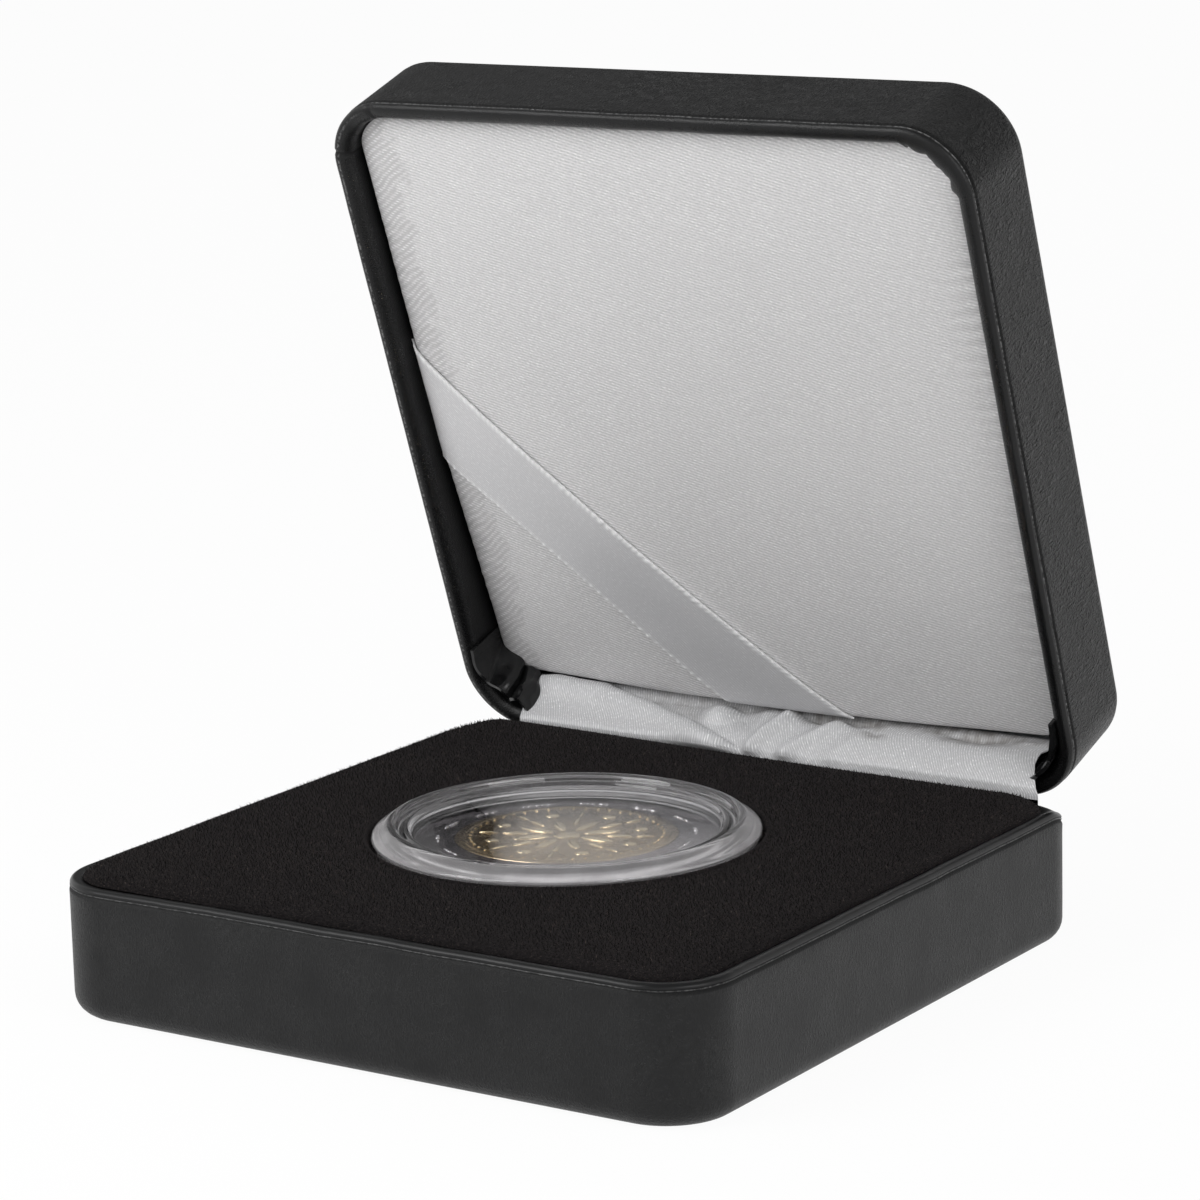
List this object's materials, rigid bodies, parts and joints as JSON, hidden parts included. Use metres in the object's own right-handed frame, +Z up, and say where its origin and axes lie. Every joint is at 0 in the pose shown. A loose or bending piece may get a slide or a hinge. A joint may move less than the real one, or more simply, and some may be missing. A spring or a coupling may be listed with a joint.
{
  "type": "coin display case",
  "caption": "Square leatherette case with a snap-hinged lid, velour insert with a round well, clear capsule with a bimetal coin, and a satin lid cushion with ribbon.",
  "frame": {"origin": "centre of the flat underside of the base", "axes": "+X along the hinge to the right, +Y from the opening side to the hinge, +Z up"},
  "size_m": [0.062, 0.0698, 0.0724],
  "materials": {
    "leatherette": "fine-grained black leatherette with a soft sheen",
    "shell_steel": "stamped sheet",
    "card": "grey board",
    "dark_foam": "dark foam",
    "white_foam": "white foam",
    "velour": "short black pile",
    "satin": "silver-white satin twill",
    "ribbon": "smooth satin ribbon",
    "strip_satin": "white satin, gathered",
    "hinge_steel": "nickel-plated",
    "spring_steel": "blued spring steel",
    "clear_plastic": "clear, polished",
    "coin_silver": "struck, silver-coloured",
    "coin_gold": "struck, gold-coloured"
  },
  "bodies": {
    "base": {"base_cover": "leatherette", "base_shell": "shell_steel", "base_board": "card", "base_foam": "dark_foam", "velour_pad": "velour", "hinge_leaf_base": "hinge_steel", "hinge_pin": "hinge_steel", "snap_spring_left": "spring_steel", "snap_spring_right": "spring_steel", "hinge_rivet_base_left": "hinge_steel", "hinge_rivet_base_right": "hinge_steel", "hinge_strip": "strip_satin"},
    "lid": {"lid_cover": "leatherette", "lid_shell": "shell_steel", "lid_board": "card", "lid_foam": "white_foam", "lid_satin": "satin", "lid_ribbon": "ribbon", "hinge_leaf_lid": "hinge_steel", "hinge_rivet_lid_left": "hinge_steel", "hinge_rivet_lid_right": "hinge_steel"},
    "capsule": {"capsule_bottom": "clear_plastic", "capsule_top": "clear_plastic", "coin_ring": "coin_silver", "coin_core": "coin_gold"}
  },
  "joints": [
    {"name": "lid_hinge", "type": "hinge", "parent": "base", "child": "lid", "pos_m": [0, 0.0297, 0.0122], "axis": [1, 0, 0], "range_deg": [0, 71], "deforming": ["hinge_strip", "snap_spring_left", "snap_spring_right"]},
    {"name": "capsule_turn", "type": "hinge", "parent": "base", "child": "capsule", "pos_m": [0, -0.0011, 0.0075], "axis": [0, 0, 1], "continuous": true}
  ]
}
